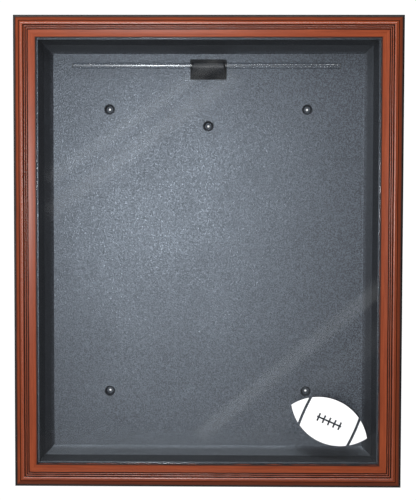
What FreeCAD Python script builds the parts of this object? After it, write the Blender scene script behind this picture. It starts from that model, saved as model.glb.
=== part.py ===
"""A wall-hung jersey display frame with a lift-off face, modelled as a parametric FreeCAD document.

The back is one thermoformed tray that screws to the wall through five cups in its floor. A short
hanger on the floor holds a clear rod for the jersey. The face is a mitred wooden moulding round an
acrylic sheet. Its rabbet drops over the tray's raised rim, and magnets hold it on.

Frame: +X to the right, +Z up, +Y into the wall. The origin is on the wall plane, at the centre of
the case. A "standoff" is a distance in front of the wall, a "drop" is one behind the frontmost
line of the moulding, and an "inset" is one in from the case's outer edge.
"""

import FreeCAD, Part
import os
import re

import Sketcher
from FreeCAD import Placement, Rotation, Vector

# ---------------------------------------------------------------- driving dimensions, in mm

SIZES = [
    ("frame_width", 876.3, "case, side to side"),
    ("frame_height", 1066.8, "case, top to bottom"),
    ("case_depth", 76.2, "wall to the frontmost line of the moulding"),
    # moulding section
    ("moulding_width", 50.8, "outer edge to sight edge"),
    ("moulding_depth", 30.0, "front to rear of the moulding"),
    ("lip_drop", 13.0, "drop of the shoulder that the glazing rests against"),
    ("rabbet_width", 9.0, "width of that shoulder"),
    ("shoulder_width", 3.8, "black outer shoulder"),
    ("shoulder_drop", 6.0, "drop of the shoulder at the outer side"),
    ("shoulder_rise", 0.6, "roundness of the shoulder"),
    ("band_width", 8.4, "flat outer band"),
    ("band_drop", 2.4, "drop of the band at the shoulder"),
    ("score_width", 1.5, "scored line between band and crown"),
    ("score_depth", 1.2, "depth of the scored line"),
    ("flat_width", 2.5, "flat between scored line and crown"),
    ("crown_width", 5.8, "rounded crown, the frontmost part"),
    ("crown_drop", 1.8, "drop of the crown's two feet"),
    ("groove_width", 1.8, "each of the two wide grooves"),
    ("groove_drop", 5.2, "drop of the groove floors"),
    ("reed_width", 2.9, "reed between the two grooves"),
    ("reed_drop", 3.0, "drop of the reed's feet"),
    ("reed_rise", 1.0, "roundness of the reed"),
    ("pearl_width", 2.4, "thin bead inside the grooves"),
    ("pearl_drop", 3.9, "drop of the bead's feet"),
    ("pearl_rise", 0.7, "roundness of the bead"),
    ("quirk_width", 1.9, "narrow groove beside the scoop"),
    ("scoop_drop", 4.2, "drop of the scoop's outer end"),
    ("scoop_sag", 0.2, "hollow of the scoop"),
    ("sight_drop", 4.75, "drop of the sight edge"),
    ("cut_margin", 5.0, "how far mitre cuts run past the wood"),
    # glazing
    ("acrylic_thickness", 3.0, "clear sheet"),
    ("glazing_clearance", 1.0, "sheet to rabbet wall"),
    ("bead_width", 6.0, "strip that holds the sheet"),
    ("bead_thickness", 2.2, "strip that holds the sheet"),
    # corner joints
    ("nail_leg", 7.0, "leg of a V-nail"),
    ("nail_gauge", 0.8, "steel strip of a V-nail"),
    ("nail_depth", 10.0, "depth of a V-nail in the wood"),
    ("outer_nail_inset", 10.0, "inset of the outer V-nail"),
    ("inner_nail_inset", 28.0, "inset of the inner V-nail"),
    # magnets and strikes
    ("magnet_diameter", 18.0, "ring magnet"),
    ("magnet_thickness", 4.0, "ring magnet"),
    ("magnet_clearance", 0.2, "all round in its pocket"),
    ("magnet_inset", 21.0, "inset of every magnet"),
    ("magnet_span_x", 520.0, "between the two magnets of a rail"),
    ("magnet_span_z", 680.0, "between the two magnets of a stile"),
    ("magnet_screw_shank", 3.4, "shank diameter"),
    ("magnet_screw_head", 7.4, "countersunk head diameter"),
    ("magnet_screw_sink", 2.0, "depth of the countersink"),
    ("magnet_screw_length", 16.0, "under the magnet's face"),
    ("strike_diameter", 22.0, "steel strike disc"),
    ("strike_thickness", 1.2, "steel strike disc"),
    ("rivet_shank", 3.2, "shank diameter"),
    ("rivet_head", 5.6, "flush head diameter"),
    ("rivet_sink", 0.8, "depth of the flush head"),
    ("rivet_tail", 5.2, "tail diameter"),
    ("rivet_tail_height", 1.4, "tail height"),
    ("rivet_clearance", 0.05, "shank to hole, radial"),
    # tray
    ("tray_wall", 2.5, "sheet thickness"),
    ("skirt_inset", 2.5, "skirt, in from the moulding's outer edge"),
    ("seat_gap", 1.5, "moulding's rear to the tray's flange"),
    ("rim_clearance", 0.8, "raised rim to rabbet wall"),
    ("rim_gap", 0.6, "raised rim to glazing strips"),
    ("rim_width", 11.7, "flat of the raised rim"),
    ("wall_run", 9.5, "how far the steep wall leans in"),
    ("wall_drop", 25.2, "depth of the steep wall"),
    ("bevel_run", 19.7, "how far the bevel leans in"),
    ("floor_standoff", 16.2, "front of the floor, from the wall"),
    ("skirt_corner", 6.0, "radius of the skirt's four corners"),
    ("skirt_edge", 1.6, "radius of the skirt's front edge"),
    ("mouth_edge", 1.5, "radius of the rim's inner edge"),
    ("bend_edge", 3.0, "radius of the bends inside the tray"),
    ("cup_mouth", 23.0, "screw cup, diameter at the floor"),
    ("cup_base", 15.0, "screw cup, diameter at its bottom"),
    ("cup_edge", 1.2, "radius of a cup's mouth"),
    ("screw_hole", 5.0, "wall screw hole, diameter"),
    ("cup_inset_side", 212.15, "outer cups, in from the sides of the case"),
    ("cup_inset_end", 209.4, "outer cups, in from the top and bottom"),
    ("centre_cup_drop", 137.0, "middle cup below the rod's axis"),
    # hanger and rod
    ("rod_diameter", 12.7, "clear rod"),
    ("rod_length", 609.6, "clear rod"),
    ("rod_chamfer", 0.5, "rod's end edges"),
    ("rod_shift", -4.5, "rod's middle, to the side of the hanger"),
    ("rod_inset", 110.4, "rod's axis below the top of the case"),
    ("rod_clearance", 0.3, "rod to saddle, radial"),
    ("hanger_width", 83.0, "hanger's base plate"),
    ("hanger_plate", 4.0, "base plate thickness"),
    ("hanger_below", 31.0, "hanger below the rod's axis"),
    ("hanger_above", 14.7, "base plate above the rod's axis"),
    ("hanger_corner", 3.0, "base plate corner radius"),
    ("hook_back_width", 79.0, "hook where it leaves the plate"),
    ("hook_front_width", 72.0, "hook at its front"),
    ("hook_reach", 25.0, "front of the hook, from the floor"),
    ("hook_top", 4.6, "lip above the rod's axis"),
    ("hook_corner", 6.5, "radius of the lip's upper corners"),
    ("hook_edge", 2.4, "radius of the hook's front edges"),
    ("hook_brow", 0.5, "rod's axis down to where the hook's front curves away"),
    ("hook_sole", 7.5, "reach of the hook at its foot, from the floor"),
    ("hook_belly", 4.6, "roundness of that curve"),
    ("hanger_screw_span", 50.0, "between the two hanger screws"),
    ("hanger_screw_drop", 20.0, "hanger screws below the rod's axis"),
    ("hanger_screw_shank", 4.0, "shank diameter"),
    ("hanger_screw_head", 8.0, "pan head diameter"),
    ("hanger_screw_head_height", 2.6, "pan head height"),
    ("hanger_screw_bite", 14.0, "length inside the hanger"),
    ("hanger_screw_clearance", 0.3, "shank to the tray's hole, radial"),
    # printed emblem
    ("emblem_length", 188.0, "ball emblem, tip to tip"),
    ("emblem_rise", 51.0, "half of the ball's height"),
    ("emblem_tilt", 24.0, "degrees"),
    ("emblem_inset_side", 162.15, "emblem's centre, in from the right of the case"),
    ("emblem_inset_end", 149.4, "emblem's centre, up from the bottom of the case"),
    ("emblem_film", 0.15, "film thickness"),
    ("stripe_width", 6.0, "clear stripe near each tip"),
    ("stripe_offset", 59.0, "stripe from the centre"),
    ("lace_length", 60.0, "clear lace line"),
    ("lace_width", 4.0, "clear lace line"),
    ("stitch_length", 19.0, "clear cross stitch"),
    ("stitch_pitch", 13.0, "between cross stitches"),
]

doc = FreeCAD.newDocument("jersey_display_frame")
sheet = doc.addObject("Spreadsheet::Sheet", "Sizes")
for row, (alias, value, note) in enumerate(SIZES, start=1):
    sheet.set(f"A{row}", alias)
    sheet.set(f"B{row}", str(value))
    sheet.set(f"C{row}", note)
    sheet.setAlias(f"B{row}", alias)
doc.recompute()

ALIASES = re.compile(r"\b(" + "|".join(alias for alias, _, _ in SIZES) + r")\b")
X_AXIS, Y_AXIS, Z_AXIS = Vector(1, 0, 0), Vector(0, 1, 0), Vector(0, 0, 1)
pieces = []

# ---------------------------------------------------------------- places that several pieces share

SIGHT_INSET = "moulding_width"
RABBET_INSET = "(moulding_width - rabbet_width)"
SEAT_STANDOFF = "(case_depth - moulding_depth)"
GLASS_FRONT = "(case_depth - lip_drop)"
GLASS_REAR = "(case_depth - lip_drop - acrylic_thickness)"
RIM_STANDOFF = "(case_depth - lip_drop - acrylic_thickness - bead_thickness - rim_gap)"
FLANGE_STANDOFF = "(case_depth - moulding_depth - seat_gap)"
RIM_INSET = "(moulding_width - rabbet_width + rim_clearance)"
MOUTH_INSET = f"({RIM_INSET} + rim_width)"
BEND_INSET = f"({MOUTH_INSET} + wall_run)"
BEND_STANDOFF = f"({RIM_STANDOFF} - wall_drop)"
FLOOR_INSET = f"({BEND_INSET} + bevel_run)"
ROD_HEIGHT = "(frame_height / 2 - rod_inset)"
ROD_STANDOFF = "(floor_standoff + hanger_plate + rod_clearance + rod_diameter / 2)"


# ---------------------------------------------------------------- helpers


def bound(text):
    """The expression with each size named through the spreadsheet."""
    return ALIASES.sub(r"Sizes.\1", str(text))


def size(text):
    """The expression's value in mm."""
    value = sheet.evalExpression(str(text))
    return float(getattr(value, "Value", value))


def bind(thing, **expressions):
    """Binds properties of an object; a double underscore in a name stands for a dot."""
    for name, text in expressions.items():
        thing.setExpression(name.replace("__", "."), bound(text))
    return thing


def new_body(label):
    body = doc.addObject("PartDesign::Body", label)
    body.Label = label
    return body


def new_sketch(body, role, standoff="0"):
    """A sketch on one of the body's own origin planes, moved along that plane's normal."""
    sketch = body.newObject("Sketcher::SketchObject", "Sketch")
    plane = next(f for f in body.Origin.OriginFeatures if f.Role == role)
    sketch.AttachmentSupport = [(plane, "")]
    sketch.MapMode = "FlatFace"
    bind(sketch, AttachmentOffset__Base__z=standoff)
    return sketch


def fix_point(sketch, geometry, point, x, y):
    """Ties a point of the sketch to its origin by two bound distances."""
    for kind, text in (("DistanceX", x), ("DistanceY", y)):
        number = sketch.addConstraint(Sketcher.Constraint(kind, -1, 1, geometry, point, size(text)))
        sketch.setExpression(f"Constraints[{number}]", bound(text))


def outline(sketch, corners, rises=None):
    """A closed outline through corners. rises maps an edge's number to its arc's rise, positive
    to the left of the way the outline runs; the other edges are straight."""
    rises = rises or {}
    points = [Vector(size(x), size(y), 0) for x, y in corners]
    ends = []
    for number, start in enumerate(points):
        end = points[(number + 1) % len(points)]
        if number in rises:
            rise = size(rises[number])
            left = Z_AXIS.cross(end - start).normalize()
            arc = Part.Arc(start, (start + end) / 2 + left * rise, end)
            index = sketch.addGeometry(arc, False)
            ends.append((index, 1, 2) if rise < 0 else (index, 2, 1))
        else:
            index = sketch.addGeometry(Part.LineSegment(start, end), False)
            ends.append((index, 1, 2))
    for number, (index, start, end) in enumerate(ends):
        following = ends[(number + 1) % len(ends)]
        sketch.addConstraint(Sketcher.Constraint("Coincident", index, end, following[0], following[1]))
        fix_point(sketch, index, start, *corners[number])
    for number, rise in rises.items():
        (x1, y1), (x2, y2) = corners[number], corners[(number + 1) % len(corners)]
        chord = f"((({x2}) - ({x1}))^2 + (({y2}) - ({y1}))^2)"
        radius = f"({chord} / 4 + ({rise})^2) / (2 * abs({rise}))"
        index = ends[number][0]
        constraint = sketch.addConstraint(Sketcher.Constraint("Radius", index, size(radius)))
        sketch.setExpression(f"Constraints[{constraint}]", bound(radius))


def circle(sketch, x, y, diameter):
    shape = Part.Circle(Vector(size(x), size(y), 0), Z_AXIS, size(diameter) / 2)
    index = sketch.addGeometry(shape, False)
    fix_point(sketch, index, 3, x, y)
    number = sketch.addConstraint(Sketcher.Constraint("Diameter", index, size(diameter)))
    sketch.setExpression(f"Constraints[{number}]", bound(diameter))


def rectangle(sketch, half_width, half_height):
    outline(
        sketch,
        [
            (f"-({half_width})", f"-({half_height})"),
            (half_width, f"-({half_height})"),
            (half_width, half_height),
            (f"-({half_width})", half_height),
        ],
    )


def pad(body, sketch, length, midplane=False, backward=False):
    feature = body.newObject("PartDesign::Pad", "Pad")
    feature.Profile = sketch
    feature.Midplane = midplane
    feature.Reversed = backward
    return bind(feature, Length=length)


def pocket(body, sketch, length=None, forward=False):
    """Cuts by length, or right through both ways. It has to take some material away."""
    before = solid_volume(body)
    feature = body.newObject("PartDesign::Pocket", "Pocket")
    feature.Profile = sketch
    if length is None:
        feature.Type = "ThroughAll"
        feature.Midplane = True
    else:
        feature.Reversed = forward
        bind(feature, Length=length)
    if solid_volume(body) >= before:
        raise ValueError(f"a pocket in {body.Label} cuts nothing")
    return feature


def solid_volume(body):
    doc.recompute()
    return body.Shape.Volume


def wedge(body, kind, front, rear, front_inset, rear_inset):
    """A frustum between two standoffs, whose rectangles are insets from the case's outer edge."""
    feature = body.newObject(f"PartDesign::{kind}Wedge", kind)
    half_x, half_z = "(frame_width / 2 - {})", "(frame_height / 2 - {})"
    return bind(
        feature,
        Ymin=f"-{front}",
        Ymax=f"-{rear}",
        Xmin="-" + half_x.format(front_inset),
        Xmax=half_x.format(front_inset),
        Zmin="-" + half_z.format(front_inset),
        Zmax=half_z.format(front_inset),
        X2min="-" + half_x.format(rear_inset),
        X2max=half_x.format(rear_inset),
        Z2min="-" + half_z.format(rear_inset),
        Z2max=half_z.format(rear_inset),
    )


def round_edges(body, radius, chosen, kind="Fillet"):
    """Rounds or bevels the body's edges for which chosen(edge) is true."""
    doc.recompute()
    base = body.Tip
    names = [f"Edge{n}" for n, edge in enumerate(base.Shape.Edges, start=1) if chosen(edge)]
    if not names:
        raise ValueError(f"no edge to round in {body.Label}")
    feature = body.newObject(f"PartDesign::{kind}", kind)
    feature.Base = (base, names)
    return bind(feature, **{"Radius" if kind == "Fillet" else "Size": radius})


def near(value, text, slack=0.05):
    return abs(value - size(text)) < slack


def flat_at(edge, text):
    """True for an edge that lies in the plane at that standoff."""
    return all(near(-vertex.Point.y, text) for vertex in edge.Vertexes)


def inset_is(edge, text):
    """True for an edge on the rectangle at that inset from the case's outer edge."""
    middle = edge.CenterOfMass
    gap_x = size("frame_width") / 2 - abs(middle.x)
    gap_z = size("frame_height") / 2 - abs(middle.z)
    return near(min(gap_x, gap_z), text)


def turned(label, profile, x, z):
    """A body of revolution about a line along Y at (x, z). profile gives (radius, y) corners."""
    body = new_body(label)
    sketch = new_sketch(body, "XY_Plane")
    outline(sketch, profile)
    feature = body.newObject("PartDesign::Revolution", "Revolution")
    feature.Profile = sketch
    feature.ReferenceAxis = (sketch, ["V_Axis"])
    feature.Angle = 360
    return bind(body, Placement__Base__x=x, Placement__Base__z=z)


def mirrored(source, normal):
    mirror = doc.addObject("Part::Mirroring", "Mirror")
    mirror.Source = source
    mirror.Normal = normal
    return mirror


def group(label, seeds, both_ways=True):
    """One piece per seed and per mirror image, across the YZ plane and, if both_ways, the XY plane."""
    members = list(seeds)
    members += [mirrored(seed, X_AXIS) for seed in seeds]
    if both_ways:
        members += [mirrored(seed, Z_AXIS) for seed in list(members)]
    compound = doc.addObject("Part::Compound", label)
    compound.Label = label
    compound.Links = members
    return compound


def fused(parts):
    union = doc.addObject("Part::MultiFuse", "Union")
    union.Shapes = parts
    return union


def cut(base, tool):
    difference = doc.addObject("Part::Cut", "Difference")
    difference.Base = base
    difference.Tool = tool
    return difference


def keep(thing, label=None):
    """Marks an object as one of the case's pieces."""
    if label:
        thing.Label = label
    pieces.append(thing)
    return thing


# ---------------------------------------------------------------- moulding and glazing strips

SIDES = {
    "top": (0, "frame_width", "0", "frame_height / 2", "magnet_span_x"),
    "right": (90, "frame_height", "frame_width / 2", "0", "magnet_span_z"),
    "bottom": (180, "frame_width", "0", "-frame_height / 2", "magnet_span_x"),
    "left": (270, "frame_height", "-frame_width / 2", "0", "magnet_span_z"),
}


def moulding_section():
    """Corners of the moulding's section as (inset, drop), and how far some of its edges swell."""
    corners = [("0", "moulding_depth"), ("0", "shoulder_drop")]
    arcs = {}

    def step(width, drop, rise=None):
        """The next corner, this much further in; rise rounds the edge that leads to it."""
        if rise:
            arcs[len(corners) - 1] = rise
        corners.append((f"{corners[-1][0]} + {width}", drop))

    step("shoulder_width", "band_drop", "shoulder_rise")
    step("band_width", "crown_drop")
    step("score_width / 2", "crown_drop + score_depth")
    step("score_width / 2", "crown_drop")
    step("flat_width", "crown_drop")
    step("crown_width", "crown_drop", "crown_drop")
    step("0", "groove_drop")
    step("groove_width", "groove_drop")
    step("0", "reed_drop")
    step("reed_width", "reed_drop", "reed_rise")
    step("0", "groove_drop")
    step("groove_width", "groove_drop")
    step("0", "pearl_drop")
    step("pearl_width", "pearl_drop", "pearl_rise")
    step("0", "groove_drop")
    step("quirk_width", "groove_drop")
    step("0", "scoop_drop")
    arcs[len(corners) - 1] = "-scoop_sag"
    corners.append((SIGHT_INSET, "sight_drop"))
    corners.append((SIGHT_INSET, "lip_drop"))
    corners.append((RABBET_INSET, "lip_drop"))
    corners.append((RABBET_INSET, "moulding_depth"))
    return corners, arcs


def mitred_bar(label, side, corners, arcs=None):
    """A straight bar of one section, mitred at both ends, on one side of the case. It is drawn
    along X with the case's outer edge at z = 0, then turned to its side."""
    turn, length, x, z, _ = SIDES[side]
    body = new_body(label)
    section = new_sketch(body, "YZ_Plane")
    swells = {number: f"-({swell})" for number, swell in (arcs or {}).items()}
    outline(section, [(f"({drop}) - case_depth", f"-({inset})") for inset, drop in corners], swells)
    pad(body, section, length, midplane=True)
    waste = new_sketch(body, "XZ_Plane")
    reach = "moulding_width + cut_margin"
    for sign in ("", "-"):
        outline(
            waste,
            [
                (f"{sign}({length} / 2 + cut_margin)", "cut_margin"),
                (f"{sign}({length} / 2 + cut_margin)", f"-({reach})"),
                (f"{sign}({length} / 2 - ({reach}))", f"-({reach})"),
            ],
        )
    pocket(body, waste)
    body.Placement = Placement(Vector(0, 0, 0), Rotation(Y_AXIS, turn))
    return bind(body, Placement__Base__x=x, Placement__Base__z=z)


def frame_member(side):
    """A length of moulding with its two magnet seats, before it is nailed."""
    corners, arcs = moulding_section()
    body = mitred_bar("moulding", side, corners, arcs)
    seats = new_sketch(body, "XZ_Plane", SEAT_STANDOFF)
    for sign in ("", "-"):
        circle(
            seats, f"{sign}{SIDES[side][4]} / 2", "-magnet_inset", "magnet_diameter + 2 * magnet_clearance"
        )
    pocket(body, seats, "magnet_thickness + magnet_clearance", forward=True)
    return body


def glazing_bead(label, side):
    """A strip in the rabbet, behind the sheet."""
    front = "lip_drop + acrylic_thickness"
    rear = f"{front} + bead_thickness"
    inner = f"{RABBET_INSET} + bead_width"
    corners = [(RABBET_INSET, rear), (RABBET_INSET, front), (inner, front), (inner, rear)]
    return keep(mitred_bar(label, side, corners))


members = {
    "frame_rail_top": frame_member("top"),
    "frame_rail_bottom": frame_member("bottom"),
    "frame_stile_left": frame_member("left"),
    "frame_stile_right": frame_member("right"),
}
for side_name in SIDES:
    glazing_bead(f"glazing_bead_{side_name}", side_name)


def v_nail(inset):
    """A bent steel strip driven across the upper right mitre from behind, spine on the mitre."""
    body = new_body("v_nail")
    strip = new_sketch(body, "XZ_Plane", SEAT_STANDOFF)
    tip_x, tip_z = f"frame_width / 2 - {inset}", f"frame_height / 2 - {inset}"
    corners = [
        (tip_x, tip_z),
        (f"{tip_x} - nail_leg", tip_z),
        (f"{tip_x} - nail_leg", f"{tip_z} - nail_gauge"),
        (f"{tip_x} - nail_gauge", f"{tip_z} - nail_gauge"),
        (f"{tip_x} - nail_gauge", f"{tip_z} - nail_leg"),
        (tip_x, f"{tip_z} - nail_leg"),
    ]
    outline(strip, corners)
    pad(body, strip, "nail_depth")
    return body


nails = keep(group("corner_v_nails", [v_nail("outer_nail_inset"), v_nail("inner_nail_inset")]))

# ---------------------------------------------------------------- clear face and its emblem


def acrylic_face():
    body = new_body("acrylic_face")
    edge = new_sketch(body, "XZ_Plane", GLASS_REAR)
    inset = f"({RABBET_INSET} + glazing_clearance)"
    rectangle(edge, f"frame_width / 2 - {inset}", f"frame_height / 2 - {inset}")
    pad(body, edge, "acrylic_thickness")
    return keep(body)


def emblem_outlines(sketch):
    """A plain oval ball: a pointed oval, less a stripe near each tip and a row of lacing."""
    arcs = {0: "-emblem_rise", 1: "-emblem_rise"}
    outline(sketch, [("-emblem_length / 2", "0"), ("emblem_length / 2", "0")], arcs)
    half_lace, half_width = "lace_length / 2", "lace_width / 2"
    lacing = [(f"-{half_lace}", f"-{half_width}"), (half_lace, f"-{half_width}")]
    lacing += [(half_lace, half_width), (f"-{half_lace}", half_width)]
    outline(sketch, lacing)


def corner_emblem():
    body = new_body("corner_emblem")
    ball = new_sketch(body, "XZ_Plane", "0")
    emblem_outlines(ball)
    pad(body, ball, "emblem_film")
    for sign in ("", "-"):
        stripe = new_sketch(body, "XZ_Plane")
        left = f"{sign}stripe_offset - stripe_width / 2"
        right = f"{sign}stripe_offset + stripe_width / 2"
        low, high = "-emblem_rise", "emblem_rise"
        bow = "stripe_width / 2"
        bows = {1: f"-({bow})", 3: bow} if sign == "" else {1: bow, 3: f"-({bow})"}
        outline(stripe, [(left, low), (right, low), (right, high), (left, high)], bows)
        pocket(body, stripe)
    for number in range(-2, 3):
        stitch = new_sketch(body, "XZ_Plane")
        left = f"{number} * stitch_pitch - lace_width / 2"
        right = f"{number} * stitch_pitch + lace_width / 2"
        reach = "stitch_length / 2"
        outline(stitch, [(left, f"-{reach}"), (right, f"-{reach}"), (right, reach), (left, reach)])
        pocket(body, stitch)
    body.Placement = Placement(Vector(0, 0, 0), Rotation(Y_AXIS, -size("emblem_tilt")))
    bind(body, Placement__Rotation__Angle="emblem_tilt")
    return keep(
        bind(
            body,
            Placement__Base__x="frame_width / 2 - emblem_inset_side",
            Placement__Base__y=f"-{GLASS_FRONT}",
            Placement__Base__z="emblem_inset_end - frame_height / 2",
        )
    )


acrylic_face()
corner_emblem()

# ---------------------------------------------------------------- magnets in the wood, strikes on the tray


def at_every_magnet(label, make):
    """One item at each of the eight magnets: one seed on a rail and one on a stile, mirrored."""
    seeds = [
        make("magnet_span_x / 2", "frame_height / 2 - magnet_inset"),
        make("frame_width / 2 - magnet_inset", "magnet_span_z / 2"),
    ]
    return keep(group(label, seeds))


def ring_magnet(x, z):
    face = f"-{SEAT_STANDOFF}"
    bottom = f"{face} - magnet_thickness"
    profile = [
        ("magnet_screw_shank / 2 + magnet_clearance", bottom),
        ("magnet_diameter / 2", bottom),
        ("magnet_diameter / 2", face),
        ("magnet_screw_head / 2 + magnet_clearance", face),
        ("magnet_screw_shank / 2 + magnet_clearance", f"{face} - magnet_screw_sink"),
    ]
    return turned("ring_magnet", profile, x, z)


def magnet_screw(x, z):
    face = f"-{SEAT_STANDOFF}"
    tip = f"{face} - magnet_screw_length"
    profile = [
        ("0", f"{tip} - magnet_screw_shank / 2"),
        ("magnet_screw_shank / 2", tip),
        ("magnet_screw_shank / 2", f"{face} - magnet_screw_sink"),
        ("magnet_screw_head / 2", face),
        ("0", face),
    ]
    return turned("magnet_screw", profile, x, z)


def strike_disc(x, z):
    back = f"-{FLANGE_STANDOFF}"
    front = f"{back} - strike_thickness"
    profile = [
        ("rivet_head / 2 + rivet_clearance", front),
        ("strike_diameter / 2", front),
        ("strike_diameter / 2", back),
        ("rivet_shank / 2 + rivet_clearance", back),
        ("rivet_shank / 2 + rivet_clearance", f"{front} + rivet_sink"),
    ]
    return turned("strike_disc", profile, x, z)


def strike_rivet(x, z):
    front = f"-{FLANGE_STANDOFF} - strike_thickness"
    behind = f"-{FLANGE_STANDOFF} + tray_wall"
    profile = [
        ("0", front),
        ("rivet_head / 2", front),
        ("rivet_shank / 2", f"{front} + rivet_sink"),
        ("rivet_shank / 2", behind),
        ("rivet_tail / 2", behind),
        ("rivet_tail / 2", f"{behind} + rivet_tail_height"),
        ("0", f"{behind} + rivet_tail_height"),
    ]
    return turned("strike_rivet", profile, x, z)


at_every_magnet("face_magnets", ring_magnet)
screws = at_every_magnet("magnet_screws", magnet_screw)
fasteners = doc.addObject("Part::Compound", "Fasteners")
fasteners.Links = [nails, screws]
for member_label, member in members.items():
    keep(cut(member, fasteners), member_label)
at_every_magnet("strike_plates", strike_disc)
at_every_magnet("strike_rivets", strike_rivet)

# ---------------------------------------------------------------- tray

BEVEL_DROP = f"({BEND_STANDOFF} - floor_standoff)"
WALL_LEAN = "atan(wall_run / wall_drop)"
BEVEL_LEAN = f"atan(bevel_run / {BEVEL_DROP})"
MEAN_LEAN = f"(({WALL_LEAN} + {BEVEL_LEAN}) / 2)"
HALF_BEND = f"(({BEVEL_LEAN} - {WALL_LEAN}) / 2)"
FLOOR_MEAN = f"(({BEVEL_LEAN} + 90 deg) / 2)"
FLOOR_HALF = f"((90 deg - {BEVEL_LEAN}) / 2)"

CUP_X, CUP_Z = "(frame_width / 2 - cup_inset_side)", "(frame_height / 2 - cup_inset_end)"
CUPS = [(sx + CUP_X, sz + CUP_Z) for sx in ("", "-") for sz in ("", "-")]
CUPS.append(("0", f"{ROD_HEIGHT} - centre_cup_drop"))


def tray_shell():
    """The formed sheet without its cups: skirt, flange, raised rim, steep wall, bevel and floor."""
    body = new_body("tray_shell")
    skirt = new_sketch(body, "XZ_Plane")
    rectangle(skirt, "frame_width / 2 - skirt_inset", "frame_height / 2 - skirt_inset")
    pad(body, skirt, FLANGE_STANDOFF)
    round_edges(body, "skirt_corner", lambda e: not flat_at(e, "0") and not flat_at(e, FLANGE_STANDOFF))
    round_edges(body, "skirt_edge", lambda e: flat_at(e, FLANGE_STANDOFF))
    rim = new_sketch(body, "XZ_Plane", FLANGE_STANDOFF)
    rectangle(rim, f"frame_width / 2 - {RIM_INSET}", f"frame_height / 2 - {RIM_INSET}")
    pad(body, rim, f"{RIM_STANDOFF} - {FLANGE_STANDOFF}")

    hollow = new_sketch(body, "XZ_Plane")
    inside = "(skirt_inset + tray_wall)"
    rectangle(hollow, f"frame_width / 2 - {inside}", f"frame_height / 2 - {inside}")
    pocket(body, hollow, f"{FLANGE_STANDOFF} - tray_wall", forward=True)
    under_rim = new_sketch(body, "XZ_Plane", f"{FLANGE_STANDOFF} - tray_wall")
    inside = f"({RIM_INSET} + tray_wall)"
    rectangle(under_rim, f"frame_width / 2 - {inside}", f"frame_height / 2 - {inside}")
    pocket(body, under_rim, f"{RIM_STANDOFF} - {FLANGE_STANDOFF}", forward=True)

    outer_bend = f"({BEND_INSET} - tray_wall * cos({MEAN_LEAN}) / cos({HALF_BEND}))"
    outer_bend_at = f"({BEND_STANDOFF} - tray_wall * sin({MEAN_LEAN}) / cos({HALF_BEND}))"
    outer_floor = f"({FLOOR_INSET} - tray_wall * cos({FLOOR_MEAN}) / cos({FLOOR_HALF}))"
    outer_mouth = f"({MOUTH_INSET} - tray_wall / cos({WALL_LEAN}))"
    floor_rear = "(floor_standoff - tray_wall)"
    outer_lean = f"({outer_bend} - {outer_mouth}) / ({RIM_STANDOFF} - {outer_bend_at})"
    start = f"({RIM_STANDOFF} - tray_wall / 2)"
    start_inset = f"({outer_mouth} + {outer_lean} * tray_wall / 2)"
    wedge(body, "Additive", start, outer_bend_at, start_inset, outer_bend)
    wedge(body, "Additive", outer_bend_at, floor_rear, outer_bend, outer_floor)
    wedge(body, "Subtractive", RIM_STANDOFF, BEND_STANDOFF, MOUTH_INSET, BEND_INSET)
    wedge(body, "Subtractive", BEND_STANDOFF, "floor_standoff", BEND_INSET, FLOOR_INSET)

    round_edges(body, "mouth_edge", lambda e: flat_at(e, RIM_STANDOFF) and inset_is(e, MOUTH_INSET))
    round_edges(body, "bend_edge", lambda e: flat_at(e, BEND_STANDOFF) and inset_is(e, BEND_INSET))
    round_edges(body, "bend_edge", lambda e: flat_at(e, "floor_standoff") and inset_is(e, FLOOR_INSET))
    return body


def cup_cone(x, z, front, rear, front_diameter, rear_diameter):
    """A cone along +Y between two standoffs."""
    cone = doc.addObject("Part::Cone", "Cone")
    cone.Placement = Placement(Vector(0, 0, 0), Rotation(X_AXIS, -90))
    return bind(
        cone,
        Radius1=f"({front_diameter}) / 2",
        Radius2=f"({rear_diameter}) / 2",
        Height=f"{front} - {rear}",
        Placement__Base__x=x,
        Placement__Base__y=f"-({front})",
        Placement__Base__z=z,
    )


def round_hole(x, z, front, rear, diameter):
    """A cylinder along +Y between two standoffs, to cut with."""
    hole = doc.addObject("Part::Cylinder", "Hole")
    hole.Placement = Placement(Vector(0, 0, 0), Rotation(X_AXIS, -90))
    return bind(
        hole,
        Radius=f"({diameter}) / 2",
        Height=f"({front}) - ({rear})",
        Placement__Base__x=x,
        Placement__Base__y=f"-({front})",
        Placement__Base__z=z,
    )


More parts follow.
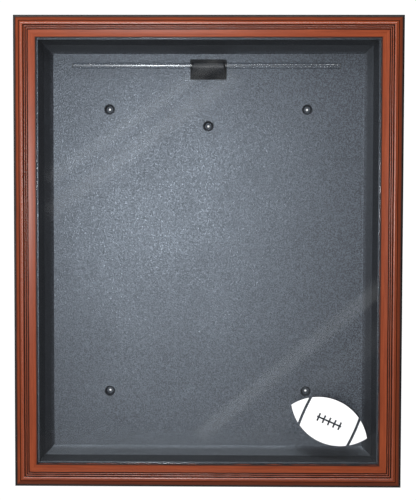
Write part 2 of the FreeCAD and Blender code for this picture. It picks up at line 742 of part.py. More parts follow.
def back_tray():
    """The shell with its five screw cups, their holes, and the holes for rivets and hanger screws."""
    shell = tray_shell()
    wall = "2 * tray_wall"
    taper = "(cup_mouth - cup_base) / floor_standoff"
    outside, inside, holes = [], [], []
    for x, z in CUPS:
        wide, narrow = f"cup_mouth + {wall}", f"cup_base + {wall}"
        mouth = f"{wide} - {taper} * tray_wall / 2"
        outside.append(cup_cone(x, z, "floor_standoff - tray_wall / 2", "0", mouth, narrow))
        inside.append(cup_cone(x, z, "floor_standoff", "tray_wall", "cup_mouth", "cup_base"))
        holes.append(round_hole(x, z, "floor_standoff", "-tray_wall", "screw_hole"))
    for sign in ("", "-"):
        x = f"{sign}hanger_screw_span / 2"
        bore = "hanger_screw_shank + 2 * hanger_screw_clearance"
        holes.append(round_hole(x, f"{ROD_HEIGHT} - hanger_screw_drop", "2 * floor_standoff", "0", bore))
    for sx in ("", "-"):
        for sz in ("", "-"):
            rail_x, rail_z = f"{sx}magnet_span_x / 2", f"{sz}(frame_height / 2 - magnet_inset)"
            stile_x, stile_z = f"{sx}(frame_width / 2 - magnet_inset)", f"{sz}magnet_span_z / 2"
            bore = "rivet_shank + 2 * rivet_clearance"
            for x, z in ((rail_x, rail_z), (stile_x, stile_z)):
                holes.append(round_hole(x, z, RIM_STANDOFF, "0", bore))
    cupped = cut(fused([shell] + outside), fused(inside + holes))
    doc.recompute()
    mouths = [
        number
        for number, edge in enumerate(cupped.Shape.Edges, start=1)
        if isinstance(edge.Curve, Part.Circle)
        and near(edge.Curve.Radius, "cup_mouth / 2")
        and flat_at(edge, "floor_standoff")
    ]
    rounded = doc.addObject("Part::Fillet", "back_tray")
    rounded.Base = cupped
    rounded.Edges = [(number, size("cup_edge"), size("cup_edge")) for number in mouths]
    return keep(rounded, "back_tray")


back_tray()

# ---------------------------------------------------------------- hanger, its screws, and the rod


def hanger_body():
    """A plate on the tray's floor with a deep hook that the rod lies in, open at the top."""
    body = new_body("hanger_body")
    plate = new_sketch(body, "XZ_Plane", "floor_standoff")
    half = "hanger_width / 2"
    bottom, top = f"{ROD_HEIGHT} - hanger_below", f"{ROD_HEIGHT} + hanger_above"
    outline(plate, [(f"-{half}", bottom), (half, bottom), (half, top), (f"-{half}", top)])
    pad(body, plate, "hanger_plate")
    round_edges(body, "hanger_corner", lambda e: abs(e.Vertexes[0].Y - e.Vertexes[-1].Y) > 1)

    sections = []
    lip = f"{ROD_HEIGHT} + hook_top"
    for standoff, width, high in (
        ("floor_standoff + hanger_plate", "hook_back_width", f"{top} - hanger_corner"),
        ("floor_standoff + hook_reach", "hook_front_width", lip),
    ):
        sketch = new_sketch(body, "XZ_Plane", standoff)
        side, foot = f"{width} / 2", f"{bottom} + hanger_corner"
        shoulder = f"{side} - hook_corner"
        corners = [(f"-{side}", foot), (side, foot), (side, f"{high} - hook_corner"), (shoulder, high)]
        corners += [(f"-({shoulder})", high), (f"-{side}", f"{high} - hook_corner")]
        quarter = "-hook_corner * (1 - cos(45 deg))"
        outline(sketch, corners, {2: quarter, 4: quarter})
        sections.append(sketch)
    hook = body.newObject("PartDesign::AdditiveLoft", "Hook")
    hook.Profile = sections[0]
    hook.Sections = sections[1:]
    hook.Ruled = True

    bore = new_sketch(body, "YZ_Plane")
    circle(bore, f"-{ROD_STANDOFF}", ROD_HEIGHT, "rod_diameter + 2 * rod_clearance")
    pocket(body, bore)
    throat = new_sketch(body, "YZ_Plane")
    half_throat = "(rod_diameter / 2 + rod_clearance)"
    rear, front = f"-{ROD_STANDOFF} + {half_throat}", f"-{ROD_STANDOFF} - {half_throat}"
    above = f"{ROD_HEIGHT} + 2 * hanger_above"
    outline(throat, [(front, ROD_HEIGHT), (rear, ROD_HEIGHT), (rear, above), (front, above)])
    pocket(body, throat)
    front, brow = "(floor_standoff + hook_reach)", f"{ROD_HEIGHT} - hook_brow"
    foot, under = f"{bottom} + hanger_corner", f"{bottom} - hanger_corner"
    sole, ahead = "-(floor_standoff + hook_sole)", f"-({front} + hook_edge)"
    belly = new_sketch(body, "YZ_Plane")
    waste = [(f"-{front}", brow), (sole, foot), (sole, under), (ahead, under), (ahead, brow)]
    outline(belly, waste, {0: "-hook_belly"})
    pocket(body, belly)

    def at_front(edge):
        """True for the edges round the hook's front, but not where its flat runs into its curve."""
        heights = sorted(vertex.Point.z for vertex in edge.Vertexes)
        down_the_curve = near(heights[0], foot) and near(heights[-1], brow)
        return down_the_curve or (flat_at(edge, front) and not near(heights[-1], brow))

    round_edges(body, "hook_edge", at_front)
    return body


def hanger_screw():
    """A pan-head screw driven from behind the tray's floor into the hanger."""
    floor_rear = "-floor_standoff + tray_wall"
    tip = "-floor_standoff - hanger_screw_bite"
    head = "hanger_screw_head / 2"
    profile = [
        ("0", f"{floor_rear} + hanger_screw_head_height"),
        ("0", f"{tip} - hanger_screw_shank / 2"),
        ("hanger_screw_shank / 2", tip),
        ("hanger_screw_shank / 2", floor_rear),
        (head, floor_rear),
        (head, f"{floor_rear} + hanger_screw_head_height / 2"),
        (f"{head} / 2", f"{floor_rear} + hanger_screw_head_height"),
    ]
    return turned("hanger_screw", profile, "hanger_screw_span / 2", f"{ROD_HEIGHT} - hanger_screw_drop")


def hanging_rod():
    body = new_body("hanging_rod")
    section = new_sketch(body, "YZ_Plane")
    circle(section, f"-{ROD_STANDOFF}", ROD_HEIGHT, "rod_diameter")
    pad(body, section, "rod_length", midplane=True)
    round_edges(body, "rod_chamfer", lambda e: isinstance(e.Curve, Part.Circle), kind="Chamfer")
    return keep(bind(body, Placement__Base__x="rod_shift"))


hanger_screws = keep(group("hanger_screws", [hanger_screw()], both_ways=False))
keep(cut(hanger_body(), hanger_screws), "rod_hanger")
hanging_rod()

# ---------------------------------------------------------------- checks and export


def failed_objects():
    return [o.Label for o in doc.Objects if {"Invalid", "Error"} & set(o.State)]


doc.recompute()
if failed_objects():
    raise ValueError(f"failed to build: {failed_objects()}")
os.makedirs("parts", exist_ok=True)
for piece in pieces:
    if piece.Shape.isNull() or not piece.Shape.isValid():
        raise ValueError(f"{piece.Label} has no valid shape")
    piece.Shape.exportStep(f"parts/{piece.Label}.step")
    print(f"{piece.Label}: {len(piece.Shape.Solids)} solids, {piece.Shape.Volume / 1000:.1f} cm3")
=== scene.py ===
import math

import bmesh
import bpy
from mathutils import Matrix, Vector


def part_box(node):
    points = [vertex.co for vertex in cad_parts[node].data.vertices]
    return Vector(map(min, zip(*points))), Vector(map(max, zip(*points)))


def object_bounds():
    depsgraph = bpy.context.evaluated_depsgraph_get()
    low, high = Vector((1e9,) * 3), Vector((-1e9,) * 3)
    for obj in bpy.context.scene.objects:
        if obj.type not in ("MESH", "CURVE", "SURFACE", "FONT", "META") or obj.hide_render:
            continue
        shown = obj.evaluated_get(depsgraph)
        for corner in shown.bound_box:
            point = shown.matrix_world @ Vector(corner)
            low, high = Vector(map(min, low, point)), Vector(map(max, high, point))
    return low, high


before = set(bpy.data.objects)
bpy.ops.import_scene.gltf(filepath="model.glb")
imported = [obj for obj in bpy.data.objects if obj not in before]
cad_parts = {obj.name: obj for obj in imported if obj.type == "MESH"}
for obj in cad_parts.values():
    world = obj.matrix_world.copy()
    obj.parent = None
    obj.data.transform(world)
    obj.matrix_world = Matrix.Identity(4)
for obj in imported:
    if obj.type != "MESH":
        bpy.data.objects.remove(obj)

cad_low, cad_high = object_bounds()

# ---- back tray
# One sheet of black plastic, heated and drawn over a mould into a shallow dish, with a raised rim, a flange
# and a skirt round it. Its face keeps the mould's pebbled grain, duller on the steep walls. Five cups in the
# floor take the wall screws.

tray_black = (0.003, 0.003, 0.004, 1.0)
tray_fleck = (0.050, 0.055, 0.067, 1.0)
tray_scuffed = (0.018, 0.020, 0.024, 1.0)
pebble_size = 0.0022
pebble_height = 0.00024
# how far in front of the wall these lie: a level near the cups' bottoms and one near their mouths, the end
# of the floor, the foot of the steep wall, the tray's mouth and its rim
cup_low, cup_high = 0.005, 0.013
floor_depth, bend_depth, mouth_depth, rim_depth = 0.0185, 0.0322, 0.0550, 0.0568


def new_finish(name):
    """A material with its nodes, links and Principled shader."""
    material = bpy.data.materials.new(name)
    material.use_nodes = True
    tree = material.node_tree
    return material, tree, tree.nodes["Principled BSDF"]


def object_place(tree, scale=(1.0, 1.0, 1.0)):
    """The piece's own coordinates, in metres, stretched by scale."""
    place = tree.nodes.new("ShaderNodeTexCoord")
    mapping = tree.nodes.new("ShaderNodeMapping")
    mapping.inputs["Scale"].default_value = scale
    tree.links.new(place.outputs["Object"], mapping.inputs["Vector"])
    return mapping.outputs["Vector"]


def noise(tree, vector, scale, detail=4.0, roughness=0.55, distortion=0.0):
    texture = tree.nodes.new("ShaderNodeTexNoise")
    texture.inputs["Scale"].default_value = scale
    texture.inputs["Detail"].default_value = detail
    texture.inputs["Roughness"].default_value = roughness
    texture.inputs["Distortion"].default_value = distortion
    tree.links.new(vector, texture.inputs["Vector"])
    return texture.outputs["Fac"]


def spread(tree, value, low, high, to_low=0.0, to_high=1.0):
    """Carries value from the range low..high to to_low..to_high, held at its ends."""
    remap = tree.nodes.new("ShaderNodeMapRange")
    remap.inputs["From Min"].default_value = low
    remap.inputs["From Max"].default_value = high
    remap.inputs["To Min"].default_value = to_low
    remap.inputs["To Max"].default_value = to_high
    tree.links.new(value, remap.inputs["Value"])
    return remap.outputs["Result"]


def calc(tree, operation, first, second=None):
    """A Math node; an input is a socket or a number."""
    node = tree.nodes.new("ShaderNodeMath")
    node.operation = operation
    for socket, value in zip(node.inputs, (first, second)):
        if value is None:
            continue
        if isinstance(value, (int, float)):
            socket.default_value = value
        else:
            tree.links.new(value, socket)
    return node.outputs[0]


def blend(tree, factor, first, second):
    """Mixes two colours, each a socket or four numbers."""
    node = tree.nodes.new("ShaderNodeMix")
    node.data_type = "RGBA"
    tree.links.new(factor, node.inputs["Factor"])
    for socket, value in ((node.inputs["A"], first), (node.inputs["B"], second)):
        if isinstance(value, tuple):
            socket.default_value = value
        else:
            tree.links.new(value, socket)
    return node.outputs["Result"]


def raise_surface(tree, shader, height, distance):
    """Bumps the shader by a height from 0 to 1 over distance metres."""
    bump = tree.nodes.new("ShaderNodeBump")
    bump.inputs["Strength"].default_value = 1.0
    bump.inputs["Distance"].default_value = distance
    tree.links.new(height, bump.inputs["Height"])
    tree.links.new(bump.outputs["Normal"], shader.inputs["Normal"])


def dress(node, material):
    """Gives a CAD node its material."""
    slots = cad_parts[node].data.materials
    slots.clear()
    slots.append(material)


def axis_of(tree, name):
    """One of the piece's own coordinates, in metres."""
    split = tree.nodes.new("ShaderNodeSeparateXYZ")
    tree.links.new(object_place(tree), split.inputs[0])
    return split.outputs[name]


def from_wall(tree):
    """How far a place lies in front of the wall, in metres."""
    return calc(tree, "SUBTRACT", cad_high.y, axis_of(tree, "Y"))


def drawn_dull(tree):
    """What drawing adds to the roughness: nothing on the floor and the rim, most on the steep walls
    and down in the cups."""
    depth = from_wall(tree)
    bevel = spread(tree, depth, floor_depth, floor_depth + 0.004, 0.0, 0.10)
    steep = spread(tree, depth, bend_depth - 0.001, bend_depth + 0.002, 0.0, 0.14)
    inside = spread(tree, depth, mouth_depth, rim_depth, 1.0, 0.0)
    in_cup = spread(tree, depth, cup_low, cup_high, 0.16, 0.0)
    walls = calc(tree, "MULTIPLY", calc(tree, "ADD", bevel, steep), inside)
    return calc(tree, "ADD", walls, in_cup)


def pebbled_sheet():
    material, tree, shader = new_finish("pebbled black sheet")
    place = object_place(tree)
    cells = tree.nodes.new("ShaderNodeTexVoronoi")
    cells.feature = "SMOOTH_F1"
    cells.inputs["Scale"].default_value = 1.0 / pebble_size
    cells.inputs["Smoothness"].default_value = 0.6
    cells.inputs["Randomness"].default_value = 1.0
    tree.links.new(place, cells.inputs["Vector"])
    dome = spread(tree, cells.outputs["Distance"], 0.0, 0.75, 1.0, 0.0)
    grain = calc(tree, "MULTIPLY", dome, spread(tree, noise(tree, place, 210.0), 0.3, 0.7, 0.55, 1.0))
    patches = noise(tree, place, 7.0, detail=5.0)
    raise_surface(tree, shader, grain, pebble_height)
    scuffs = spread(tree, noise(tree, object_place(tree, (1.0, 1.0, 3.5)), 26.0, detail=6.0), 0.52, 0.78)
    flecks = spread(tree, noise(tree, place, 520.0, detail=0.0), 0.38, 0.66)
    on_floor = spread(tree, from_wall(tree), floor_depth, floor_depth + 0.004, 1.0, 0.2)
    colour = blend(tree, calc(tree, "MULTIPLY", flecks, on_floor), tray_black, tray_fleck)
    colour = blend(tree, calc(tree, "MULTIPLY", scuffs, 0.4), colour, tray_scuffed)
    tree.links.new(colour, shader.inputs["Base Color"])
    stipple = spread(tree, noise(tree, place, 380.0, detail=0.5), 0.3, 0.7, -0.11, 0.11)
    worn = calc(tree, "ADD", spread(tree, patches, 0.3, 0.7, 0.355, 0.405), stipple)
    tree.links.new(calc(tree, "ADD", worn, drawn_dull(tree)), shader.inputs["Roughness"])
    shader.inputs["Specular Tint"].default_value = (0.77, 0.87, 1.0, 1.0)
    return material


dress("back_tray", pebbled_sheet())

# ---- rod hanger and its screws
# A short deep hook, moulded in black plastic, dull but for some shine on its rounded lip. Two
# zinc-plated pan-head screws hold it from behind the floor.

hanger_black = (0.008, 0.010, 0.014, 1.0)
hanger_rubbed = (0.012, 0.013, 0.015, 1.0)
hook_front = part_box("rod_hanger")[0].y
rod_low, rod_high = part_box("hanging_rod")
rod_axis = (rod_low.z + rod_high.z) / 2


def satin_moulding():
    material, tree, shader = new_finish("satin moulded plastic")
    place = object_place(tree)
    spark = noise(tree, place, 1400.0, detail=2.0)
    raise_surface(tree, shader, spark, 0.000003)
    shader.inputs["Specular IOR Level"].default_value = 0.15
    handled = noise(tree, place, 60.0, detail=5.0)
    rough = spread(tree, handled, 0.3, 0.75, 0.60, 0.72)
    on_hook = spread(tree, axis_of(tree, "Y"), hook_front + 0.010, hook_front + 0.004)
    on_lip = spread(tree, axis_of(tree, "Z"), rod_axis - 0.014, rod_axis - 0.004)
    polish = calc(tree, "MULTIPLY", calc(tree, "MULTIPLY", on_hook, on_lip), -0.30)
    tree.links.new(calc(tree, "ADD", rough, polish), shader.inputs["Roughness"])
    tree.links.new(blend(tree, handled, hanger_black, hanger_rubbed), shader.inputs["Base Color"])
    return material


def plated_metal(name, bright, dull, roughness):
    """A metal with faint tool marks and a patchy shine."""
    material, tree, shader = new_finish(name)
    marks = noise(tree, object_place(tree), 900.0, detail=3.0)
    bloom = noise(tree, object_place(tree), 240.0, detail=4.0)
    shader.inputs["Metallic"].default_value = 1.0
    tree.links.new(blend(tree, bloom, bright, dull), shader.inputs["Base Color"])
    patchy = spread(tree, bloom, 0.3, 0.7, roughness - 0.06, roughness + 0.1)
    tree.links.new(patchy, shader.inputs["Roughness"])
    raise_surface(tree, shader, marks, 0.00003)
    return material


zinc = plated_metal("zinc-plated steel", (0.62, 0.63, 0.64, 1.0), (0.47, 0.48, 0.50, 1.0), 0.34)
dress("rod_hanger", satin_moulding())
dress("hanger_screws", zinc)

# ---- hanging rod
# A clear acrylic rod of half an inch, sawn to length. It lies loose in the hanger. Its sawn ends are
# frosted, and its side has fine lengthwise drawing marks.

rod_clear = (0.93, 0.94, 0.95, 1.0)
# the tint at the rod's sides, darker as painted shade
rod_side_shade = (0.52, 0.55, 0.60, 1.0)
rod_frosted = (0.70, 0.71, 0.72, 1.0)
frost_start, frost_full = 0.0030, 0.0008


def clear_through(tree, gloss, clear, least, most):
    """Mixes a mirror over a clear shader, least of it face on and most of it edge on."""
    slope = tree.nodes.new("ShaderNodeLayerWeight")
    slope.inputs["Blend"].default_value = 0.5
    edge_on = calc(tree, "POWER", slope.outputs["Facing"], 5.0)
    mix = tree.nodes.new("ShaderNodeMixShader")
    tree.links.new(spread(tree, edge_on, 0.0, 1.0, least, most), mix.inputs[0])
    tree.links.new(clear.outputs[0], mix.inputs[1])
    tree.links.new(gloss.outputs[0], mix.inputs[2])
    tree.links.new(mix.outputs[0], tree.nodes["Material Output"].inputs["Surface"])
    return slope


def clear_rod():
    """Clear along its middle, with painted shade towards its two sides for the dark surroundings seen bent
    through them, a soft shine and frosted ends.
    """
    material, tree, shader = new_finish("clear drawn rod")
    tree.nodes.remove(shader)
    gloss = tree.nodes.new("ShaderNodeBsdfGlossy")
    clear = tree.nodes.new("ShaderNodeBsdfTransparent")
    slope = clear_through(tree, gloss, clear, 0.040, 0.5)
    to_end = calc(tree, "ABSOLUTE", calc(tree, "SUBTRACT", axis_of(tree, "X"), (rod_low.x + rod_high.x) / 2))
    half_length = (rod_high.x - rod_low.x) / 2
    frosting = spread(tree, to_end, half_length - frost_start, half_length - frost_full)
    drawing = noise(tree, object_place(tree, (0.03, 60.0, 60.0)), 40.0, detail=3.0)
    shine = spread(tree, drawing, 0.4, 0.8, 0.18, 0.22)
    shine = calc(tree, "ADD", shine, calc(tree, "MULTIPLY", frosting, 0.4))
    tree.links.new(shine, gloss.inputs["Roughness"])
    # painted shade: the clear tint darkens towards the rod's sides in place of the dark walls a real rod
    # bends into view
    painted_side_shade = spread(tree, slope.outputs["Facing"], 0.35, 0.85)
    tint = blend(tree, painted_side_shade, rod_clear, rod_side_shade)
    tree.links.new(blend(tree, frosting, tint, rod_frosted), clear.inputs["Color"])
    return material


dress("hanging_rod", clear_rod())

# ---- strike discs and rivets
# Eight plated steel discs riveted to the tray's flange, where the magnets in the moulding meet them and
# have dulled their faces. The aluminium rivets have flush heads.

dress("strike_plates", plated_metal("rubbed steel", (0.55, 0.55, 0.56, 1.0), (0.38, 0.38, 0.39, 1.0), 0.38))
dress("strike_rivets", plated_metal("aluminium", (0.75, 0.75, 0.76, 1.0), (0.62, 0.62, 0.63, 1.0), 0.36))

# ---- moulding
# Four lengths of hardwood moulding stained mahogany, rubbed with a dark glaze that stays in the
# grooves, painted black at the outer shoulder and the sight edge, and lacquered. The glaze on the outer
# band is heavier on the bottom and right lengths as painted shade, and the black at the sight edge
# reaches onto the scoop as painted shade of the gap under the lip. They are mitred, and the rear and
# the rabbet are left bare.

stain_light = (0.232, 0.045, 0.013, 1.0)
stain_dark = (0.144, 0.024, 0.006, 1.0)
glaze = (0.0220, 0.0066, 0.0039, 1.0)
# black for the paint at the outer shoulder and the sight edge, where it is also painted shade
edge_black_and_shade = (0.010, 0.009, 0.009, 1.0)
bare_wood = (0.36, 0.22, 0.12, 1.0)
bare_wood_dark = (0.25, 0.14, 0.07, 1.0)
half_width, half_height = cad_high.x, cad_high.z
face_width = 0.0508
glass_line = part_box("acrylic_face")[0].y
# behind the glass line the wood is bare from this far in from the outer edge
bare_inset = 0.0010
# the broad outer band, in mm in from the outer edge; its glaze differs on each length as painted shade,
# darker on the bottom and right lengths
outer_band = (7.0, 11.9)
# where the glaze lies, in the same measure: start, end, and how dark it is
glazed = [
    (5.2, 7.0, 0.7),
    (11.9, 13.7, 0.95),
    (13.7, 16.0, 0.18),
    (21.7, 24.5, 1.0),
    (26.5, 28.8, 1.0),
    (30.5, 33.2, 1.0),
    (47.6, 49.1, 0.35),
]
# where it is painted black, the stretch at the sight edge also standing in as painted shade of the gap under
# the lip, and where it is rubbed up to a shine
painted = [(-1.0, 5.2, 1.0), (49.1, 50.9, 1.0)]
burnished = [(16.2, 21.7, 1.0), (24.5, 26.5, 0.9), (28.8, 30.5, 1.0)]


def along_section(tree, inset, stretches, softness):
    """A mask that follows the moulding's section, in mm: the amount of each stretch (start, end, amount)
    between its ends, and nothing elsewhere."""

    def amount_at(place):
        return max((amount for start, end, amount in stretches if start <= place < end), default=0.0)

    reach = face_width * 1000 + 2.0
    points = []
    for edge in sorted({edge for start, end, amount in stretches for edge in (start, end)}):
        for place in (edge - softness, edge + softness):
            place = min(max(place, 0.0), reach)
            points.append((place / reach, amount_at(place)))
    ramp = tree.nodes.new("ShaderNodeValToRGB")
    stops = ramp.color_ramp.elements
    stops[0].position, stops[1].position = points[0][0], points[-1][0]
    stops[0].color = (points[0][1],) * 3 + (1.0,)
    stops[1].color = (points[-1][1],) * 3 + (1.0,)
    for at, amount in points[1:-1]:
        stops.new(at).color = (amount,) * 3 + (1.0,)
    share = spread(tree, inset, 0.0, reach / 1000)
    tree.links.new(share, ramp.inputs["Fac"])
    return ramp.outputs["Color"]


def stained_moulding(name, across, half_span, grain_scale, seed, band_glaze_and_shade):
    """across names the coordinate that crosses the length; half_span is the case's half size on it; seed
    is where in the plank its grain was cut; band_glaze_and_shade is how dark the outer band is left, its
    glaze together with painted shade."""
    material, tree, shader = new_finish(name)
    long_way = object_place(tree, grain_scale)
    shifted = tree.nodes.new("ShaderNodeVectorMath")
    shifted.operation = "ADD"
    shifted.inputs[1].default_value = (seed, seed * 2.0, seed * 3.0)
    tree.links.new(long_way, shifted.inputs[0])
    fibres = noise(tree, shifted.outputs[0], 9.0, detail=8.0, roughness=0.62, distortion=0.35)
    pores = spread(tree, noise(tree, shifted.outputs[0], 46.0, detail=4.0), 0.60, 0.72)
    figure = noise(tree, object_place(tree, (1.4, 1.4, 1.4)), 4.0, detail=3.0)
    wood = blend(tree, spread(tree, fibres, 0.30, 0.68), stain_dark, stain_light)
    wood = blend(tree, calc(tree, "MULTIPLY", pores, 0.45), wood, glaze)
    wood = blend(tree, spread(tree, figure, 0.35, 0.75, 0.0, 0.30), wood, stain_dark)

    wander = spread(tree, noise(tree, object_place(tree), 34.0, detail=3.0), 0.3, 0.7, -0.00035, 0.00035)
    to_centre = calc(tree, "ABSOLUTE", axis_of(tree, across))
    inset = calc(tree, "ADD", calc(tree, "SUBTRACT", half_span, to_centre), wander)
    # glaze in the grooves and on the outer band; on the band it also carries painted shade, heavier on the
    # bottom and right lengths
    rubbed = along_section(tree, inset, [(*outer_band, band_glaze_and_shade)] + glazed, 0.35)
    wood = blend(tree, rubbed, wood, glaze)
    # black paint at the outer shoulder and the sight edge; the sight-edge stretch is also painted shade of
    # the gap under the lip
    black = along_section(tree, inset, painted, 0.25)
    wood = blend(tree, black, wood, edge_black_and_shade)

    bare_colour = blend(tree, fibres, bare_wood_dark, bare_wood)
    depth = axis_of(tree, "Y")
    behind = spread(tree, depth, glass_line - 0.0004, glass_line + 0.0004)
    inside = spread(tree, inset, bare_inset, bare_inset + 0.0006)
    bare = calc(tree, "MULTIPLY", behind, inside)
    tree.links.new(blend(tree, bare, wood, bare_colour), shader.inputs["Base Color"])
    sheen = spread(tree, noise(tree, object_place(tree), 55.0, detail=4.0), 0.3, 0.7, 0.42, 0.52)
    tree.links.new(calc(tree, "ADD", sheen, calc(tree, "MULTIPLY", bare, 0.35)), shader.inputs["Roughness"])
    shader.inputs["Specular IOR Level"].default_value = 0.06
    rubbed_up = along_section(tree, inset, burnished, 0.3)
    lacquer = spread(tree, rubbed_up, 0.0, 1.0, 0.24, 1.0)
    lacquer = calc(tree, "MULTIPLY", lacquer, spread(tree, rubbed, 0.0, 0.9, 1.0, 0.02))
    tree.links.new(lacquer, shader.inputs["Coat Weight"])
    shader.inputs["Coat Roughness"].default_value = 0.27
    grain_height = calc(tree, "ADD", fibres, calc(tree, "MULTIPLY", pores, -0.8))
    raise_surface(tree, shader, grain_height, 0.00005)
    return material


rail_grain, stile_grain = (1.2, 34.0, 34.0), (34.0, 34.0, 1.2)
# each length's node, finish, seed and band_glaze_and_shade, the outer band's glaze with painted shade that
# darkens the bottom and right lengths
rails = [
    ("frame_rail_top", "stained top rail", 1.7, 0.30),
    ("frame_rail_bottom", "stained bottom rail", 5.3, 0.62),
]
stiles = [
    ("frame_stile_left", "stained left stile", 9.1, 0.24),
    ("frame_stile_right", "stained right stile", 12.6, 0.52),
]
for node, finish, seed, band_glaze_and_shade in rails:
    dress(node, stained_moulding(finish, "Z", half_height, rail_grain, seed, band_glaze_and_shade))
for node, finish, seed, band_glaze_and_shade in stiles:
    dress(node, stained_moulding(finish, "X", half_width, stile_grain, seed, band_glaze_and_shade))

# ---- corner nails, magnets and their screws
# Bent steel strips driven into each mitre from behind, and eight nickel ring magnets let into the rear
# of the moulding with countersunk screws.

dress("corner_v_nails", plated_metal("blued strip", (0.30, 0.31, 0.34, 1.0), (0.18, 0.19, 0.21, 1.0), 0.4))
dress("face_magnets", plated_metal("nickel", (0.68, 0.65, 0.60, 1.0), (0.56, 0.54, 0.50, 1.0), 0.2))
dress("magnet_screws", zinc)

# ---- clear face
# A sheet of clear acrylic in the rabbet. It is polished, with the faint haze of wiping, and it mirrors
# the strip lamps as soft streaks.

sheet_clear = (0.985, 0.99, 0.99, 1.0)
sheet_wiped = (0.975, 0.98, 0.98, 1.0)


def clear_sheet():
    """Clear straight through, with a polished face that mirrors more at a glancing angle."""
    material, tree, shader = new_finish("clear sheet")
    tree.nodes.remove(shader)
    wiping = noise(tree, object_place(tree, (1.0, 1.0, 2.6)), 5.0, detail=6.0, distortion=0.8)
    gloss = tree.nodes.new("ShaderNodeBsdfGlossy")
    gloss.inputs["Color"].default_value = (0.98, 0.99, 1.0, 1.0)
    tree.links.new(spread(tree, wiping, 0.35, 0.75, 0.03, 0.07), gloss.inputs["Roughness"])
    raise_surface(tree, gloss, wiping, 0.00003)
    clear = tree.nodes.new("ShaderNodeBsdfTransparent")
    tree.links.new(blend(tree, wiping, sheet_clear, sheet_wiped), clear.inputs["Color"])
    clear_through(tree, gloss, clear, 0.04, 0.9)
    return material


dress("acrylic_face", clear_sheet())

# ---- glazing strips
# Black extruded strips glued into the rabbet behind the sheet. They have the fine lengthwise lines of
# the die.

strip_black = (0.010, 0.010, 0.011, 1.0)
strip_lined = (0.022, 0.022, 0.023, 1.0)


def extruded_strip(name, line_scale):
    material, tree, shader = new_finish(name)
    lines = noise(tree, object_place(tree, line_scale), 30.0, detail=3.0)
    tree.links.new(blend(tree, lines, strip_black, strip_lined), shader.inputs["Base Color"])
    tree.links.new(spread(tree, lines, 0.3, 0.7, 0.5, 0.65), shader.inputs["Roughness"])
    raise_surface(tree, shader, lines, 0.00005)
    return material


lying_strip = extruded_strip("extruded strip, lying", (1.0, 60.0, 60.0))
standing_strip = extruded_strip("extruded strip, standing", (60.0, 60.0, 1.0))
for side in ("top", "bottom"):
    dress(f"glazing_bead_{side}", lying_strip)
for side in ("left", "right"):
    dress(f"glazing_bead_{side}", standing_strip)

# ---- corner emblem
# A plain ball printed in white on thin film, stuck to the outside of the sheet at the lower right.

film_dull = (0.80, 0.80, 0.81, 1.0)
film_white = (0.90, 0.90, 0.90, 1.0)


def printed_film():
    material, tree, shader = new_finish("white film")
    place = object_place(tree)
    mottle = noise(tree, place, 90.0, detail=5.0)
    tree.links.new(blend(tree, mottle, film_dull, film_white), shader.inputs["Base Color"])
    tree.links.new(spread(tree, mottle, 0.3, 0.7, 0.34, 0.5), shader.inputs["Roughness"])
    raise_surface(tree, shader, noise(tree, place, 700.0, detail=2.0), 0.00003)
    return material


dress("corner_emblem", printed_film())

# ---- studio
# The case hangs clear of everything over a pale floor. A small lamp beside the camera lights all but the
# clear sheet, a tall one lights the tray alone, soft boxes stand above, at the left and low at the right,
# and four thin strips behind the camera show only as streaks in the sheet.

floor_stretch = (3.5, 3.0, 1.0)
floor_middle = (0.0, -1.6, -1.35)
floor_worn = (0.74, 0.74, 0.73, 1.0)
floor_pale = (0.80, 0.80, 0.79, 1.0)


def pale_floor():
    shape = bmesh.new()
    bmesh.ops.create_grid(shape, x_segments=1, y_segments=1, size=1.0)
    bmesh.ops.scale(shape, vec=floor_stretch, verts=shape.verts)
    bmesh.ops.translate(shape, vec=floor_middle, verts=shape.verts)
    mesh = bpy.data.meshes.new("pale floor")
    shape.to_mesh(mesh)
    shape.free()
    floor = bpy.data.objects.new("pale_floor", mesh)
    bpy.context.scene.collection.objects.link(floor)
    material, tree, shader = new_finish("pale floor")
    worn = noise(tree, object_place(tree), 3.0, detail=4.0)
    tree.links.new(blend(tree, worn, floor_worn, floor_pale), shader.inputs["Base Color"])
    shader.inputs["Roughness"].default_value = 0.7
    mesh.materials.append(material)


def soft_box(name, place, target, size, power, colour=(1.0, 1.0, 1.0)):
    """A rectangular lamp at place that faces target."""
    lamp = bpy.data.lights.new(name, "AREA")
    lamp.shape = "RECTANGLE"
    lamp.size, lamp.size_y = size
    lamp.energy = power
    lamp.color = colour
    holder = bpy.data.objects.new(name, lamp)
    bpy.context.scene.collection.objects.link(holder)
    facing = (Vector(target) - Vector(place)).to_track_quat("-Z", "Y").to_matrix().to_4x4()
    holder.matrix_world = Matrix.Translation(place) @ facing
    return holder


def shines_on(holder, nodes, state):
    """Lets a lamp shine on these CAD nodes alone (INCLUDE), or on all but them (EXCLUDE)."""
    receivers = bpy.data.collections.new(f"receivers of {holder.name}")
    for node in nodes:
        receivers.objects.link(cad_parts[node])
    for link in receivers.collection_objects:
        link.light_linking.link_state = state
    holder.light_linking.receiver_collection = receivers


camera_place = Vector((0.0065, -3.0580, 0.2102))
strips_from_wall = 4.4


def seen_in_sheet(x, z):
    """The place in the strips' plane whose mirror image the camera sees at (x, z) on the sheet."""
    mirrored = Vector((camera_place.x, 2 * glass_line - camera_place.y, camera_place.z))
    on_sheet = Vector((x, glass_line, z))
    reach = (mirrored.y + strips_from_wall) / (mirrored.y - glass_line)
    return mirrored + (on_sheet - mirrored) * reach


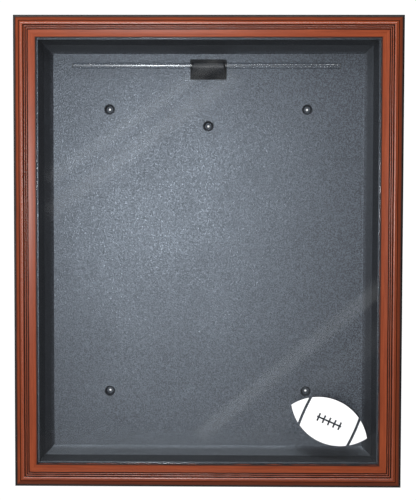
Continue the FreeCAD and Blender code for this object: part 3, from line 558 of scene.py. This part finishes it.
def strip_in_sheet(name, start, end, width, radiance):
    """A thin strip lamp whose mirror image runs from start to end across the sheet."""
    first, last = seen_in_sheet(*start), seen_in_sheet(*end)
    along = last - first
    middle = (first + last) / 2
    spread_by = (strips_from_wall - camera_place.y) / (glass_line - camera_place.y)
    breadth = width * abs(spread_by)
    power = radiance * math.pi * along.length * breadth
    strip = soft_box(name, middle, middle + Vector((0.0, 1.0, 0.0)), (along.length, breadth), power)
    slope = math.atan2(along.z, along.x)
    facing = Matrix(((1, 0, 0), (0, 0, -1), (0, 1, 0))).to_4x4()
    strip.matrix_world = Matrix.Translation(middle) @ Matrix.Rotation(-slope, 4, "Y") @ facing
    shines_on(strip, ["acrylic_face"], "INCLUDE")


pale_floor()
beside_camera = soft_box(
    "lamp beside camera", (-0.24, -3.02, 0.07), (0.0, 0.0, 0.0), (0.07, 0.10), 56.0, (0.97, 0.98, 1.0)
)
shines_on(beside_camera, ["acrylic_face"], "EXCLUDE")
tall = soft_box("tall lamp for the tray", (-0.24, -3.02, -0.35), (-0.24, 0.0, -0.35), (0.05, 1.9), 31.0)
shines_on(tall, ["back_tray"], "INCLUDE")
soft_box("overhead box", (-0.3, -1.2, 2.1), (0.0, 0.0, 0.0), (2.4, 1.0), 78.0)
soft_box("left box", (-2.4, -0.9, 0.4), (0.0, 0.0, 0.0), (1.2, 2.0), 33.0)
soft_box("low right box", (1.9, -2.4, -0.9), (0.0, 0.0, 0.0), (1.4, 1.4), 5.0)
strip_in_sheet("upper strip", (-0.36, 0.165), (0.02, 0.43), 0.024, 0.45)
strip_in_sheet("second strip", (-0.36, 0.09), (0.06, 0.40), 0.036, 0.36)
strip_in_sheet("lower strip", (-0.02, -0.42), (0.40, -0.07), 0.032, 0.4)
strip_in_sheet("lowest strip", (0.05, -0.47), (0.43, -0.15), 0.050, 0.12)

# how bright the walls of the room are, as light on the case and as the camera sees them
room_light, room_seen = 0.08, 1.05
world = bpy.data.worlds.new("white studio")
bpy.context.scene.world = world
world.use_nodes = True
sky = world.node_tree
backdrop = sky.nodes["Background"]
backdrop.inputs["Color"].default_value = (1.0, 1.0, 1.0, 1.0)
ray = sky.nodes.new("ShaderNodeLightPath")
strength = spread(sky, ray.outputs["Is Camera Ray"], 0.0, 1.0, room_light, room_seen)
sky.links.new(strength, backdrop.inputs["Strength"])

# ---- camera
# It stands three metres off, a little above the case's middle, and looks slightly down. Its film is
# shifted a little to centre the case.

camera = bpy.data.cameras.new("camera")
camera.sensor_width = 36.0
camera.lens = 95.6
camera.shift_x = 0.0297
camera.shift_y = -0.0484
holder = bpy.data.objects.new("camera", camera)
bpy.context.scene.collection.objects.link(holder)
down, aside, lean = math.radians(2.86), math.radians(0.77), math.radians(0.09)
back = Vector((math.sin(aside) * math.cos(down), -math.cos(aside) * math.cos(down), math.sin(down)))
holder.matrix_world = (
    Matrix.Translation(camera_place)
    @ (-back).to_track_quat("-Z", "Y").to_matrix().to_4x4()
    @ Matrix.Rotation(lean, 4, "Z")
)
bpy.context.scene.camera = holder
bpy.context.scene.view_settings.view_transform = "Standard"
